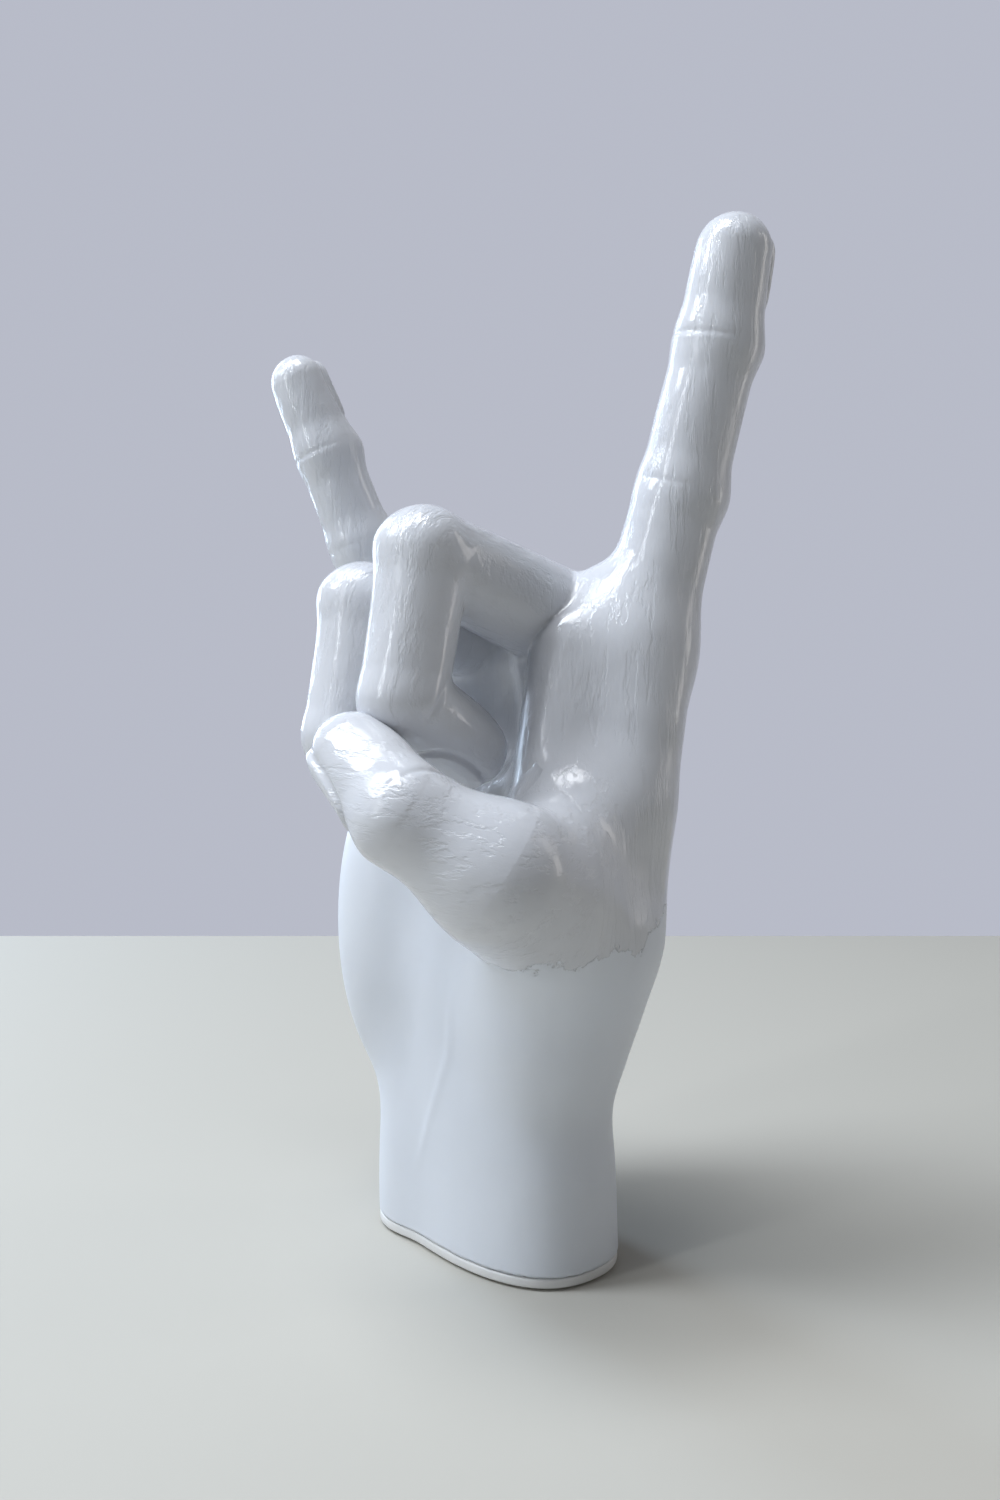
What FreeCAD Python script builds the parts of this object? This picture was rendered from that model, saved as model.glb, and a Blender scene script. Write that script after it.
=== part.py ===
"""A right hand making the horns sign, cast in white glazed ceramic, as a table ornament.

The hand stands on its cut wrist with the fingers up. The palm faces -Y, the thumb side is +X, and the
origin is the middle of the foot pad's underside. The wrist and palm are one hollow casting. The thumb and
the four fingers are cast on their own and seated on it with round tenons, and each has a vent bore that
opens into the hollow. A thin plate closes the wrist, and a felt pad sits in a recess under the plate.

A bone's direction is a curl and a splay in degrees. Curl turns it from straight up towards the palm side,
and splay turns it towards the thumb side. Each form is a smooth skin over rings of poles, and a ring's four
reaches go towards the thumb side, the back, the little finger side and the palm.
"""

import FreeCAD
import Part

import math
import os

# Foot plate and pad
foot_gap = 0.5
plate_thickness = 2.2
plate_lip_height = 5.0
plate_lip_wall = 2.5
plate_lip_clearance = 0.4
plate_vent_radius = 4.0
pad_thickness = 1.4
pad_inset = 3.5
pad_clearance = 0.3

# Wrist and palm casting
wrist_width = 61.0
wrist_depth = 36.6
wrist_height = 33.0
palm_width = 81.0
palm_depth = 34.0
palm_height = 138.0
cast_wall = 4.5
heel_swell = 11.2
edge_swell = 7.6
thenar_swell = 9.5
ray_swell = 7.3
palm_hollow = 3.0
web_radius = 11.0

# Tenon joints and vents of the digits
tenon_length = 7.0
tenon_taper = 0.5
tenon_clearance = 0.3
vent_radius = 1.6
vent_drop = 24.0
touch_clearance = 0.3

# Nails
nail_proud = 0.6

# Digits: length from root to fingertip centre, girth as a radius at the root, and the seat's distance
index_length = 82.7
index_radius = 11.4
index_seat = 20.0
index_tenon_radius = 5.0
middle_length = 89.3
middle_radius = 11.0
middle_seat = 15.0
middle_tenon_radius = 4.8
ring_length = 84.8
ring_radius = 10.2
ring_seat = 14.0
ring_tenon_radius = 4.5
little_length = 75.1
little_radius = 9.6
little_seat = 15.0
little_tenon_radius = 4.2
thumb_length = 72.2
thumb_radius = 15.5
thumb_seat = 20.0
thumb_tenon_radius = 7.0

overrun = 60.0

# Rings of the casting, as shares. First their height, from the foot to the wrist's waist or from there to the
# knuckles, then their centre x and y, half width and half depth, as shares of the half width and half depth,
# then how much they have of the turn, heel, little finger edge, thenar, index ray and hollow.
wrist_shares = (
    (0.00, 0.000, 0.00, 1.000, 1.00, 1.0, 0.29, 0.00, 0.00, 0.00, 0.0),
    (0.31, -0.005, 0.00, 0.990, 0.99, 1.0, 0.31, 0.00, 0.00, 0.00, 0.0),
    (0.67, -0.010, 0.00, 0.960, 0.98, 1.0, 0.31, 0.05, 0.00, 0.00, 0.0),
    (1.00, -0.010, 0.00, 0.930, 0.97, 1.0, 0.25, 0.55, 0.00, 0.00, 0.0),
)
palm_shares = (
    (0.085, -0.010, 0.02, 0.740, 1.06, 0.6, 0.29, 1.00, 0.24, 0.00, 0.0),
    (0.16, -0.020, 0.04, 0.800, 1.06, 0.2, 0.44, 0.95, 0.50, 0.00, 0.3),
    (0.24, -0.005, 0.06, 0.890, 1.06, 0.0, 0.59, 0.71, 0.73, 0.05, 0.6),
    (0.335, 0.005, 0.13, 0.965, 1.03, 0.0, 0.83, 0.45, 0.95, 0.20, 1.0),
    (0.43, -0.010, 0.20, 0.990, 0.98, 0.0, 0.97, 0.15, 0.95, 0.30, 1.0),
    (0.525, -0.030, 0.27, 1.010, 0.91, 0.0, 0.95, 0.00, 0.60, 0.40, 1.0),
    (0.62, -0.030, 0.34, 1.020, 0.84, 0.0, 0.70, 0.00, 0.12, 0.50, 0.5),
    (0.715, -0.020, 0.42, 1.005, 0.78, 0.0, 0.18, 0.00, 0.00, 0.60, 0.0),
    (0.81, 0.015, 0.51, 0.985, 0.72, 0.0, 0.00, 0.00, 0.00, 0.75, 0.0),
    (0.895, 0.015, 0.60, 0.940, 0.64, 0.0, 0.00, 0.00, 0.00, 1.05, 0.0),
    (0.96, 0.010, 0.65, 0.850, 0.55, 0.0, 0.00, 0.00, 0.00, 0.90, 0.0),
    (0.995, 0.080, 0.65, 0.620, 0.38, 0.0, 0.00, 0.00, 0.00, 0.30, 0.0),
    (0.995, 0.100, 0.65, 0.320, 0.16, 0.0, 0.00, 0.00, 0.00, 0.00, 0.0),
)
wrist_turn_angle = -6.0
# Where the swells and the hollow lie round the outline, in degrees from the thumb side, and how wide
heel_angle = 232.0
edge_angle = 202.0
thenar_angle = 307.0
ray_angle = 42.0
hollow_angle = 270.0
swell_spread_angle = 23.0
hollow_spread_angle = 14.0
outline_power = 2.4
outline_points = 24

# The casting's hollow ends under the knuckles, at this share of the height between wrist and knuckles
hollow_top_share = 0.80

# Digits: root as shares of the palm's half width, half depth and height, bones as shares of the length,
# curls and splays in degrees, and the girth at the root, the joints and the tip as shares of the radius
index_root_shares = (0.679, 0.794, 0.928)
index_bone_shares = (0.418, 0.366, 0.216)
index_curl_angles = (-11.3, -8.1, -5.8)
index_splay_angles = (9.0, 10.3, 7.4)
index_girth_shares = (1.00, 0.84, 0.79, 0.72)
middle_root_shares = (0.222, 0.588, 0.978)
middle_bone_shares = (0.455, 0.315, 0.230)
middle_curl_angles = (72.1, 168.1, 237.7)
middle_splay_angles = (-1.4, 0.0, 0.0)
middle_girth_shares = (1.00, 0.86, 0.81, 0.73)
ring_root_shares = (-0.272, 0.471, 0.949)
ring_bone_shares = (0.439, 0.313, 0.248)
ring_curl_angles = (79.1, 168.1, 244.7)
ring_splay_angles = (0.0, 0.0, 2.7)
ring_girth_shares = (1.00, 0.86, 0.82, 0.75)
little_root_shares = (-0.741, 0.294, 0.870)
little_bone_shares = (0.477, 0.293, 0.230)
little_curl_angles = (19.2, 15.7, 14.7)
little_splay_angles = (-12.9, -13.7, -16.2)
little_girth_shares = (1.00, 0.78, 0.74, 0.67)
thumb_root_shares = (0.630, -0.294, 0.522)
thumb_bone_shares = (0.458, 0.284, 0.258)
thumb_curl_angles = (59.5, 51.4, -5.6)
thumb_splay_angles = (11.3, -32.5, -56.4)
thumb_girth_shares = (1.00, 0.84, 0.635, 0.52)

# The smooth curves and skins are cubic
spline_order = 3

# Rings of a digit: their poles, the waist between joints, the swell of the pad, the room that a bend
# needs, and how far the knuckle of a bent joint stands out
ring_points = 12
waist_share = 0.96
pad_swell_share = 1.05
bend_room_share = 0.3
knuckle_share = 2.5
straight_turn = 25.0

# The web from the thumb's first bone to the palm under the index finger: where it starts on the bone, where
# it ends as shares of the palm's half width, half depth and height, and its rings' places and girths
web_start_share = 0.5
web_end_shares = (0.69, 0.12, 0.71)
web_ring_shares = (
    (0.00, 0.90),
    (0.30, 1.00),
    (0.60, 1.00),
    (0.85, 0.90),
    (1.10, 0.60),
)

# Stubs on the palm: where they start, and how far each root is drawn out to its four sides
heel_height_share = 1.58
stub_depth_share = 1.6
stub_root_share = 0.80
index_web_shares = (1.38, 1.18, 1.90, 1.25)
middle_web_shares = (1.10, 1.10, 1.10, 1.00)
ring_web_shares = (1.10, 1.10, 1.10, 1.00)
little_web_shares = (1.40, 1.05, 1.00, 1.00)
thumb_web_shares = (1.45, 1.25, 1.15, 1.30)

# Nail outline on the back of the last bone, as shares of the bone and of the tip's radius
nail_start_share = 0.42
nail_end_share = 0.42
nail_width_share = 0.72

thumb_back = FreeCAD.Vector(-0.55, -0.38, -0.75)


def bone_direction(curl, splay):
    """Return the unit vector of a bone with this curl and splay."""
    c = math.radians(curl)
    s = math.radians(splay)
    return FreeCAD.Vector(math.sin(s), -math.sin(c) * math.cos(s), math.cos(c) * math.cos(s))


def square_to(vector, axis):
    """Return the unit part of vector that is square to axis."""
    flat = vector - axis * vector.dot(axis)
    flat.normalize()
    return flat


def finger_backs(curls):
    """Return a finger's back directions, one for each bone."""
    return [
        FreeCAD.Vector(0, math.cos(math.radians(curl)), math.sin(math.radians(curl)))
        for curl in curls
    ]


def digit(size, joints_at, angles, girth_shares, web_shares, backs):
    """Return a digit's joints, directions and radii as one dictionary."""
    length, radius, seat, tenon_radius = size
    root_shares, bone_shares = joints_at
    root = FreeCAD.Vector(
        root_shares[0] * palm_width / 2,
        root_shares[1] * palm_depth / 2,
        root_shares[2] * palm_height,
    )
    joints = [root]
    alongs = []
    for share, curl, splay in zip(bone_shares, *angles):
        along = bone_direction(curl, splay)
        alongs.append(along)
        joints.append(joints[-1] + along * (share * length))
    return {
        "joints": joints,
        "bones": [share * length for share in bone_shares],
        "alongs": alongs,
        "backs": [square_to(back, along) for back, along in zip(backs, alongs)],
        "radii": [share * radius for share in girth_shares],
        "web": [share * radius for share in web_shares],
        "seat": seat,
        "tenon_radius": tenon_radius,
    }


def all_digits():
    """Return every digit by its node name."""
    return {
        "index_finger": digit(
            (index_length, index_radius, index_seat, index_tenon_radius),
            (index_root_shares, index_bone_shares),
            (index_curl_angles, index_splay_angles),
            index_girth_shares, index_web_shares, finger_backs(index_curl_angles),
        ),
        "middle_finger": digit(
            (middle_length, middle_radius, middle_seat, middle_tenon_radius),
            (middle_root_shares, middle_bone_shares),
            (middle_curl_angles, middle_splay_angles),
            middle_girth_shares, middle_web_shares, finger_backs(middle_curl_angles),
        ),
        "ring_finger": digit(
            (ring_length, ring_radius, ring_seat, ring_tenon_radius),
            (ring_root_shares, ring_bone_shares),
            (ring_curl_angles, ring_splay_angles),
            ring_girth_shares, ring_web_shares, finger_backs(ring_curl_angles),
        ),
        "little_finger": digit(
            (little_length, little_radius, little_seat, little_tenon_radius),
            (little_root_shares, little_bone_shares),
            (little_curl_angles, little_splay_angles),
            little_girth_shares, little_web_shares, finger_backs(little_curl_angles),
        ),
        "thumb": digit(
            (thumb_length, thumb_radius, thumb_seat, thumb_tenon_radius),
            (thumb_root_shares, thumb_bone_shares),
            (thumb_curl_angles, thumb_splay_angles),
            thumb_girth_shares, thumb_web_shares, [thumb_back, thumb_back, thumb_back],
        ),
    }


def ring_face(ring):
    """Return the flat face inside the smooth closed curve that a flat ring of poles draws."""
    curve = Part.BSplineCurve()
    knots = list(range(len(ring) + 1))
    curve.buildFromPolesMultsKnots(ring, [1] * len(knots), knots, True, spline_order)
    return Part.Face(Part.Wire(curve.toShape()))


def skin(rings):
    """Return the smooth solid over the rings, with a flat first end, and a last end flat or rounded off."""
    round_knots = list(range(len(rings[0]) + 1))
    round_mults = [1] * len(round_knots)
    long_knots = list(range(len(rings) - spline_order + 1))
    long_mults = [1] * len(long_knots)
    long_mults[0] = spline_order + 1
    long_mults[-1] = spline_order + 1
    surface = Part.BSplineSurface()
    surface.buildFromPolesMultsKnots(
        rings, long_mults, round_mults, long_knots, round_knots, False, True, spline_order, spline_order
    )
    faces = [surface.toShape(), ring_face(rings[0])]
    if rings[-1][0].distanceToPoint(rings[-1][1]) > 0:
        faces.append(ring_face(rings[-1]))
    shell = Part.Shell(faces)
    shell.sewShape()
    solid = Part.Solid(shell)
    if solid.Volume < 0:
        solid.reverse()
    return solid


def pole_spread(points):
    """Return how much further out than its smooth closed curve a ring of so many poles lies."""
    return 3 / (2 + math.cos(2 * math.pi / points))


def oval(centre, along, back, reaches):
    """Return a ring of poles square to along, whose curve has its own reach to each of its four sides."""
    up = square_to(back, along)
    side = up.cross(along)
    thumb_side, back_side, little_side, palm_side = reaches
    spread = pole_spread(ring_points)
    places = []
    for number in range(ring_points):
        angle = 2 * math.pi * number / ring_points
        across = spread * math.cos(angle)
        deep = spread * math.sin(angle)
        across *= thumb_side if across > 0 else little_side
        deep *= back_side if deep > 0 else palm_side
        places.append(centre + side * across + up * deep)
    return places


def joint_ring(part, number):
    """Return the ring in the mitre plane of a joint, drawn out at the knuckle and in the bend."""
    before = part["alongs"][number - 1]
    after = part["alongs"][number]
    middle = before + after
    middle.normalize()
    half_turn = before.getAngle(after) / 2
    radius = part["radii"][number]
    back = square_to(part["backs"][number - 1] + part["backs"][number], middle)
    knuckle = radius * (1 + knuckle_share * (1 - math.cos(half_turn)))
    return oval(part["joints"][number], middle, back, (radius, knuckle, radius, radius / math.cos(half_turn)))


def bone_ring(part, number, distance, share, raised):
    """Return the ring square to a bone at a distance from its first joint, with its back raised."""
    blend = distance / part["bones"][number]
    radius = share * (part["radii"][number] * (1 - blend) + part["radii"][number + 1] * blend)
    centre = part["joints"][number] + part["alongs"][number] * distance
    reaches = (radius, radius + raised, radius, radius)
    return oval(centre, part["alongs"][number], part["backs"][number], reaches)


def bend_room(part, number):
    """Return how far from a joint its neighbouring rings stay, or zero at a nearly straight joint."""
    turn = part["alongs"][number - 1].getAngle(part["alongs"][number])
    if math.degrees(turn) < straight_turn:
        return 0
    return part["radii"][number] * (math.tan(turn / 2) + bend_room_share)


def waist_rings(part, number, start, end):
    """Return evenly spread rings of a bone between two places, slightly waisted."""
    steps = max(1, round((end - start) / part["radii"][number]))
    return [
        bone_ring(part, number, start + (end - start) * step / steps, waist_share, 0)
        for step in range(1, steps)
    ]


def tip_rings(part, raised):
    """Return the rings that round off a fingertip, the last one drawn in to a point."""
    along = part["alongs"][2]
    radius = part["radii"][3]
    tip = part["joints"][3]
    shoulder = bone_ring(part, 2, part["bones"][2] + radius / 2, 1, raised)
    crown = oval(tip + along * radius, along, part["backs"][2], [radius / 2] * 4)
    return [shoulder, crown, [tip + along * radius] * ring_points]


def digit_flesh(part, raised):
    """Return the flesh of a digit from its seat to its tip, with the back of its last bone raised."""
    rings = [bone_ring(part, 0, part["seat"], 1, 0)]
    start = part["seat"]
    for number in (1, 2):
        room = bend_room(part, number)
        end = part["bones"][number - 1] - room
        rings += waist_rings(part, number - 1, start, end)
        if room > 0:
            rings.append(bone_ring(part, number - 1, end, 1, 0))
        rings.append(joint_ring(part, number))
        if room > 0:
            rings.append(bone_ring(part, number, room, 1, 0))
        start = room
    last = part["bones"][2]
    rings.append(bone_ring(part, 2, (start + last) / 2, pad_swell_share, raised))
    rings.append(bone_ring(part, 2, last, 1, raised))
    return skin(rings + tip_rings(part, raised))


def nail(part):
    """Return the nail: the flesh with a raised back, kept only inside the nail's outline."""
    along = part["alongs"][2]
    back = part["backs"][2]
    radius = part["radii"][3]
    start = part["joints"][2] + along * (nail_start_share * part["bones"][2])
    end = part["joints"][3] + along * (nail_end_share * radius)
    half_length = start.distanceToPoint(end) / 2
    half_width = nail_width_share * radius
    outline = ring_face(oval((start + end) / 2, back, along, (half_width, half_length) * 2))
    return digit_flesh(part, nail_proud).common(outline.extrude(back * (2 * radius)))


def tenon(part, clearance):
    """Return the tapered tenon of a digit, or its socket where there is a clearance."""
    along = part["alongs"][0]
    seat = part["joints"][0] + along * part["seat"]
    radius = part["tenon_radius"] + clearance
    return Part.makeCone(radius, radius - tenon_taper, tenon_length + clearance, seat, along * -1)


def digit_room(part):
    """Return the room that a digit takes up beyond its seat, with the clearance that its neighbours leave."""
    return digit_flesh(dict(part, radii=[radius + touch_clearance for radius in part["radii"]]), 0)


def digit_solid(part, neighbours):
    """Return a digit with its nail, its tenon and its blind vent bore, fitted against its neighbours."""
    along = part["alongs"][0]
    shape = digit_flesh(part, 0).fuse(nail(part)).fuse(tenon(part, 0))
    tenon_end = part["joints"][0] + along * (part["seat"] - tenon_length)
    depth = tenon_length + (part["bones"][0] - part["seat"]) / 2
    shape = shape.cut(Part.makeCylinder(vent_radius, depth, tenon_end, along))
    for neighbour in neighbours:
        shape = shape.cut(digit_room(neighbour))
    return shape


def swell(angle, place, spread):
    """Return a smooth bump of height 1 at a place round the outline, with angles in degrees."""
    away = math.remainder(angle - place, 360)
    return math.exp(-(away / spread) ** 2)


def outline_place(angle, half_width, half_depth, extra):
    """Return a point of a squarish oval at an angle in degrees, pushed out square to the oval by extra."""
    across = math.cos(math.radians(angle))
    deep = math.sin(math.radians(angle))
    x = half_width * math.copysign(abs(across) ** (2 / outline_power), across)
    y = half_depth * math.copysign(abs(deep) ** (2 / outline_power), deep)
    out_x = math.copysign(abs(across) ** (2 - 2 / outline_power), across) / half_width
    out_y = math.copysign(abs(deep) ** (2 - 2 / outline_power), deep) / half_depth
    out = FreeCAD.Vector(out_x, out_y, 0)
    out.normalize()
    return FreeCAD.Vector(x, y, 0) + out * extra


def hand_bottom():
    """Return the height at which the casting rests on the foot plate."""
    return foot_gap + plate_thickness


def casting_ring(heights, half_width, half_depth, shares, inset):
    """Return the casting's ring at a place between two heights, drawn in by inset."""
    rise, x_share, y_share, wide_share, deep_share, turn, heel, edge, ball, ray, dip = shares
    low, high = heights
    centre = FreeCAD.Vector(x_share * half_width, y_share * half_depth, low + rise * (high - low))
    turned = FreeCAD.Rotation(FreeCAD.Vector(0, 0, 1), turn * wrist_turn_angle)
    wide = pole_spread(outline_points) * (wide_share * half_width - inset)
    deep = pole_spread(outline_points) * (deep_share * half_depth - inset)
    places = []
    for number in range(outline_points):
        angle = 360 * number / outline_points
        extra = heel_swell * heel * swell(angle, heel_angle, swell_spread_angle)
        extra += edge_swell * edge * swell(angle, edge_angle, swell_spread_angle)
        extra += thenar_swell * ball * swell(angle, thenar_angle, swell_spread_angle)
        extra += ray_swell * ray * swell(angle, ray_angle, swell_spread_angle)
        extra -= palm_hollow * dip * swell(angle, hollow_angle, hollow_spread_angle)
        places.append(centre + turned.multVec(outline_place(angle, wide, deep, extra)))
    return places


def wrist_ring(shares, inset):
    """Return the casting's ring at one height of the wrist, drawn in by inset."""
    return casting_ring((hand_bottom(), wrist_height), wrist_width / 2, wrist_depth / 2, shares, inset)


def palm_ring(shares, inset):
    """Return the casting's ring at one height of the palm, drawn in by inset."""
    return casting_ring((wrist_height, palm_height), palm_width / 2, palm_depth / 2, shares, inset)


def hand_flesh():
    """Return the outer form of the wrist and palm, without the digits' stubs."""
    rings = [wrist_ring(shares, 0) for shares in wrist_shares]
    rings += [palm_ring(shares, 0) for shares in palm_shares]
    return skin(rings)


def hand_hollow():
    """Return the hollow of the casting, open at the wrist and domed under the knuckles."""
    rings = [wrist_ring(shares, cast_wall) for shares in wrist_shares]
    rings += [palm_ring(shares, cast_wall) for shares in palm_shares if shares[0] <= hollow_top_share]
    return skin(rings)


def to_heel(root):
    """Return the direction from a digit's root to the heel of the hand, inside the hollow."""
    rear = FreeCAD.Vector(0, 0, heel_height_share * wrist_height) - root
    rear.normalize()
    return rear


def stub(part):
    """Return what carries a digit: from the heel of the palm, over the digit's root, to its seat."""
    radius = part["radii"][0]
    root = part["joints"][0]
    along = part["alongs"][0]
    back = part["backs"][0]
    rear = to_heel(root)
    middle = along - rear
    middle.normalize()
    half_turn = along.getAngle(rear * -1) / 2
    reaches = list(part["web"])
    reaches[3] = reaches[3] / math.cos(half_turn)
    room = radius * math.tan(half_turn)
    rings = []
    for depth in (room + stub_depth_share * radius, room + stub_depth_share * radius / 2):
        rings.append(oval(root + rear * depth, rear * -1, back, [stub_root_share * radius] * 4))
    rings.append(oval(root, middle, back, reaches))
    for distance in ((room + part["seat"]) / 2, part["seat"]):
        rings.append(bone_ring(part, 0, distance, 1, 0))
    return skin(rings)


def web(part):
    """Return the web between a digit's first bone and the palm, with both ends inside what it joins."""
    start = part["joints"][0] + part["alongs"][0] * (web_start_share * part["bones"][0])
    end = FreeCAD.Vector(
        web_end_shares[0] * palm_width / 2,
        web_end_shares[1] * palm_depth / 2,
        web_end_shares[2] * palm_height,
    )
    along = end - start
    along.normalize()
    rings = []
    for place_share, girth_share in web_ring_shares:
        centre = start + (end - start) * place_share
        rings.append(oval(centre, along, part["backs"][0], [girth_share * web_radius] * 4))
    return skin(rings)


def hand_body(digits):
    """Return the hollow casting of wrist and palm, with a stub and a socket for each digit."""
    shape = hand_flesh().fuse(web(digits["thumb"]))
    for part in digits.values():
        shape = shape.fuse(stub(part))
    shape = shape.cut(hand_hollow())
    for part in digits.values():
        root = part["joints"][0]
        shape = shape.cut(digit_room(part))
        shape = shape.cut(tenon(part, tenon_clearance))
        shape = shape.cut(Part.makeCylinder(vent_radius, part["seat"], root, part["alongs"][0]))
        shape = shape.cut(Part.makeCylinder(vent_radius, vent_drop, root, to_heel(root)))
    return shape


def foot_plate():
    """Return the plate that closes the wrist, with its locating lip, its vent and the pad's recess."""
    down = FreeCAD.Vector(0, 0, -plate_thickness)
    lip_inset = cast_wall + plate_lip_clearance
    plate = ring_face(wrist_ring(wrist_shares[0], 0)).extrude(down)
    lip = ring_face(wrist_ring(wrist_shares[0], lip_inset))
    lip = lip.cut(ring_face(wrist_ring(wrist_shares[0], lip_inset + plate_lip_wall)))
    lip = lip.extrude(FreeCAD.Vector(0, 0, plate_lip_height))
    recess = ring_face(wrist_ring(wrist_shares[0], pad_inset))
    recess.translate(down)
    recess = recess.extrude(FreeCAD.Vector(0, 0, pad_thickness - foot_gap))
    vent = Part.makeCylinder(plate_vent_radius, overrun)
    return plate.fuse(lip).cut(recess).cut(vent)


def foot_pad():
    """Return the felt pad, which stands proud of the plate by the foot gap."""
    outline = ring_face(wrist_ring(wrist_shares[0], pad_inset + pad_clearance))
    outline.translate(FreeCAD.Vector(0, 0, -hand_bottom()))
    return outline.extrude(FreeCAD.Vector(0, 0, pad_thickness))


def main():
    """Build every sub-part and write one STEP file for each."""
    os.makedirs("parts", exist_ok=True)
    digits = all_digits()
    middle = digits["middle_finger"]
    ring = digits["ring_finger"]
    neighbours = {"ring_finger": [middle], "thumb": [middle, ring]}
    shapes = {"hand_body": hand_body(digits)}
    for name, part in digits.items():
        shapes[name] = digit_solid(part, neighbours.get(name, []))
    shapes["foot_plate"] = foot_plate()
    shapes["foot_pad"] = foot_pad()
    for name, shape in shapes.items():
        print(name, len(shape.Solids), "solids", round(shape.Volume), shape.isValid())
        shape.exportStep(os.path.join("parts", name + ".step"))


main()
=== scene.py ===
"""The looks of the ceramic hand ornament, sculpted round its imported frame.

The hand is one smooth form in millimetres: round tapered bones and a palm that flow into each other. Each
piece's skin is netted from that form, cut at its seat, and finished with small marks such as creases,
knuckles, nails and tendons. The palm faces -Y, the thumb side is +X, and the hand stands on its wrist.
"""

import math

import bmesh
import bpy
import numpy as np
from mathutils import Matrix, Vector


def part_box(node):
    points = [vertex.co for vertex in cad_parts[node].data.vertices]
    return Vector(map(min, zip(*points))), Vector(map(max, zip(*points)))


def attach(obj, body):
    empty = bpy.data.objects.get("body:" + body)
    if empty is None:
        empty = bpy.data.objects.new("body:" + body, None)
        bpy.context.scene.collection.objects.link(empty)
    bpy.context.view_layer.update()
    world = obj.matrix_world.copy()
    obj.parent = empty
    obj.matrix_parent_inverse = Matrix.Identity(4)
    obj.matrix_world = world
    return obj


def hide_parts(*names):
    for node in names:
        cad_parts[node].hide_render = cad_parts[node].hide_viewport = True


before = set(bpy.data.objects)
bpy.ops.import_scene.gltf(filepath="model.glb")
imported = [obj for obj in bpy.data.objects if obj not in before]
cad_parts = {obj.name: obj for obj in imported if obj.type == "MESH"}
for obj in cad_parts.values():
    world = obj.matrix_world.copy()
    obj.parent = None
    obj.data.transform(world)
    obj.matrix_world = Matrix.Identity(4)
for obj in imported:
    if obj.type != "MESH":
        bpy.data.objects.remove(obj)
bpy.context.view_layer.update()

mm = 0.001

# Palm and wrist: height, middle x and y, half width, half depth and turn in degrees of each section
palm_sections = np.array([
    (0, 0.0, 0, 30.5, 18.3, -6),
    (20, -0.3, 0, 29.8, 18.0, -6),
    (33, 0.0, 0, 28.6, 17.8, -6),
    (44, 0.7, 0.5, 30.9, 18.0, -3),
    (57, 0.2, 1, 35.6, 18.0, 0),
    (75, -1.5, 3, 38.5, 17.0, 0),
    (100, -2.0, 6, 40.5, 14.0, 0),
    (120, 0.0, 9, 39.0, 12.0, 0),
    (132, 0.0, 11, 36.0, 10.0, 0),
    (145, 0.0, 11, 30.0, 8.0, 0),
], float)

# How square the sections are, the inner share of them with a plain distance, and the round top and foot
palm_squareness = 2.4
palm_core = 0.3
palm_top = 136.0
palm_top_round = 8.0
casting_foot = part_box("hand_body")[0].z / mm
foot_round = 0.6

# Masses that fill the palm out: middle, half sizes and how softly each flows in
palm_masses = {
    "heel of the hand": ((-25.5, -5, 68), (14.5, 16, 38), 8),
    "front corner of the wrist": ((-17.5, -8.0, 10), (8, 8, 40), 8),
    "ball of the thumb": ((19, -7, 66), (14, 13, 26), 10),
    "knuckle of the index finger": ((25, 17.3, 129), (7.5, 7.5, 9), 5),
    "web beside the index finger": ((19.5, 9.5, 133), (11, 8.5, 13), 6),
    "knuckle of the middle finger": ((9, 14.5, 131), (7.5, 8, 8), 4),
    "knuckle of the ring finger": ((-10.5, 13.5, 129), (7, 7.5, 8), 4),
    "knuckle of the little finger": ((-27, 9.5, 121), (7, 7, 8), 4),
}

# Round ridges: both ends, the radius at each and how softly it flows in
index_ray = ((25, 5, 72), (26.8, 12.8, 128), 9.5, 10.6, 8)
palm_ridge = ((18.5, 1, 129), (21, -5.5, 98), 7.5, 8.5, 6)
thumb_web = ((30, -24, 85), (28, 2, 98), 10, 10, 10)

# Cup of the palm behind the curled fingers: middle, half sizes and how softly it is sunk
palm_cup = ((0, -8, 116), (12, 10.5, 14.5), 5)

# Digits: joints from root to fingertip middle, radii there, how softly the joints and the root flow, and a
# point and a direction of the plane in which the digit sits on the casting
digits = {
    "thumb": {
        "joints": ((25.5, -5, 72), (32, -33, 88.5), (21, -45.3, 99.3), (5.5, -45.0, 109.5)),
        "radii": (15.5, 13.0, 9.3, 7.9), "softness": 4, "flow": 9,
        "seat": ((29.4, -21.9, 82.0), (0.22, -0.93, 0.30)),
        "back": (-0.545, -0.377, -0.751),
    },
    "index_finger": {
        "joints": ((26.9, 12.9, 128), (32.7, 20.0, 161.5), (38.2, 24.4, 191), (40.8, 26.2, 209.1)),
        "radii": (10.5, 9.0, 8.6, 7.7), "softness": 3, "flow": 7,
        "seat": ((31, 17.9, 150), (0.16, 0.2, 0.97)),
    },
    "little_finger": {
        "joints": ((-30, 5, 120), (-38, -6.5, 153), (-43.2, -12.3, 173.6), (-48, -16.5, 189.6)),
        "radii": (9.5, 7.4, 7.0, 6.3), "softness": 3, "flow": 6,
        "seat": ((-34, -0.7, 136), (-0.22, -0.32, 0.92)),
    },
    "middle_finger": {
        "joints": ((9, 10, 135), (8, -28.6, 147.5), (8, -34.4, 120), (8, -17, 109)),
        "radii": (11.0, 9.2, 8.6, 7.8), "softness": 1.5, "flow": 2.5,
        "seat": ((-1, -5, 136), (0, -0.97, 0.243)),
    },
    "ring_finger": {
        "joints": ((-11, 8, 131), (-11, -28.5, 138), (-11, -34, 112), (-10, -15, 103)),
        "radii": (10.0, 8.6, 8.2, 7.5), "softness": 1.5, "flow": 2.5,
        "seat": ((-1, -5, 136), (0, -0.97, 0.243)),
    },
}
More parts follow.
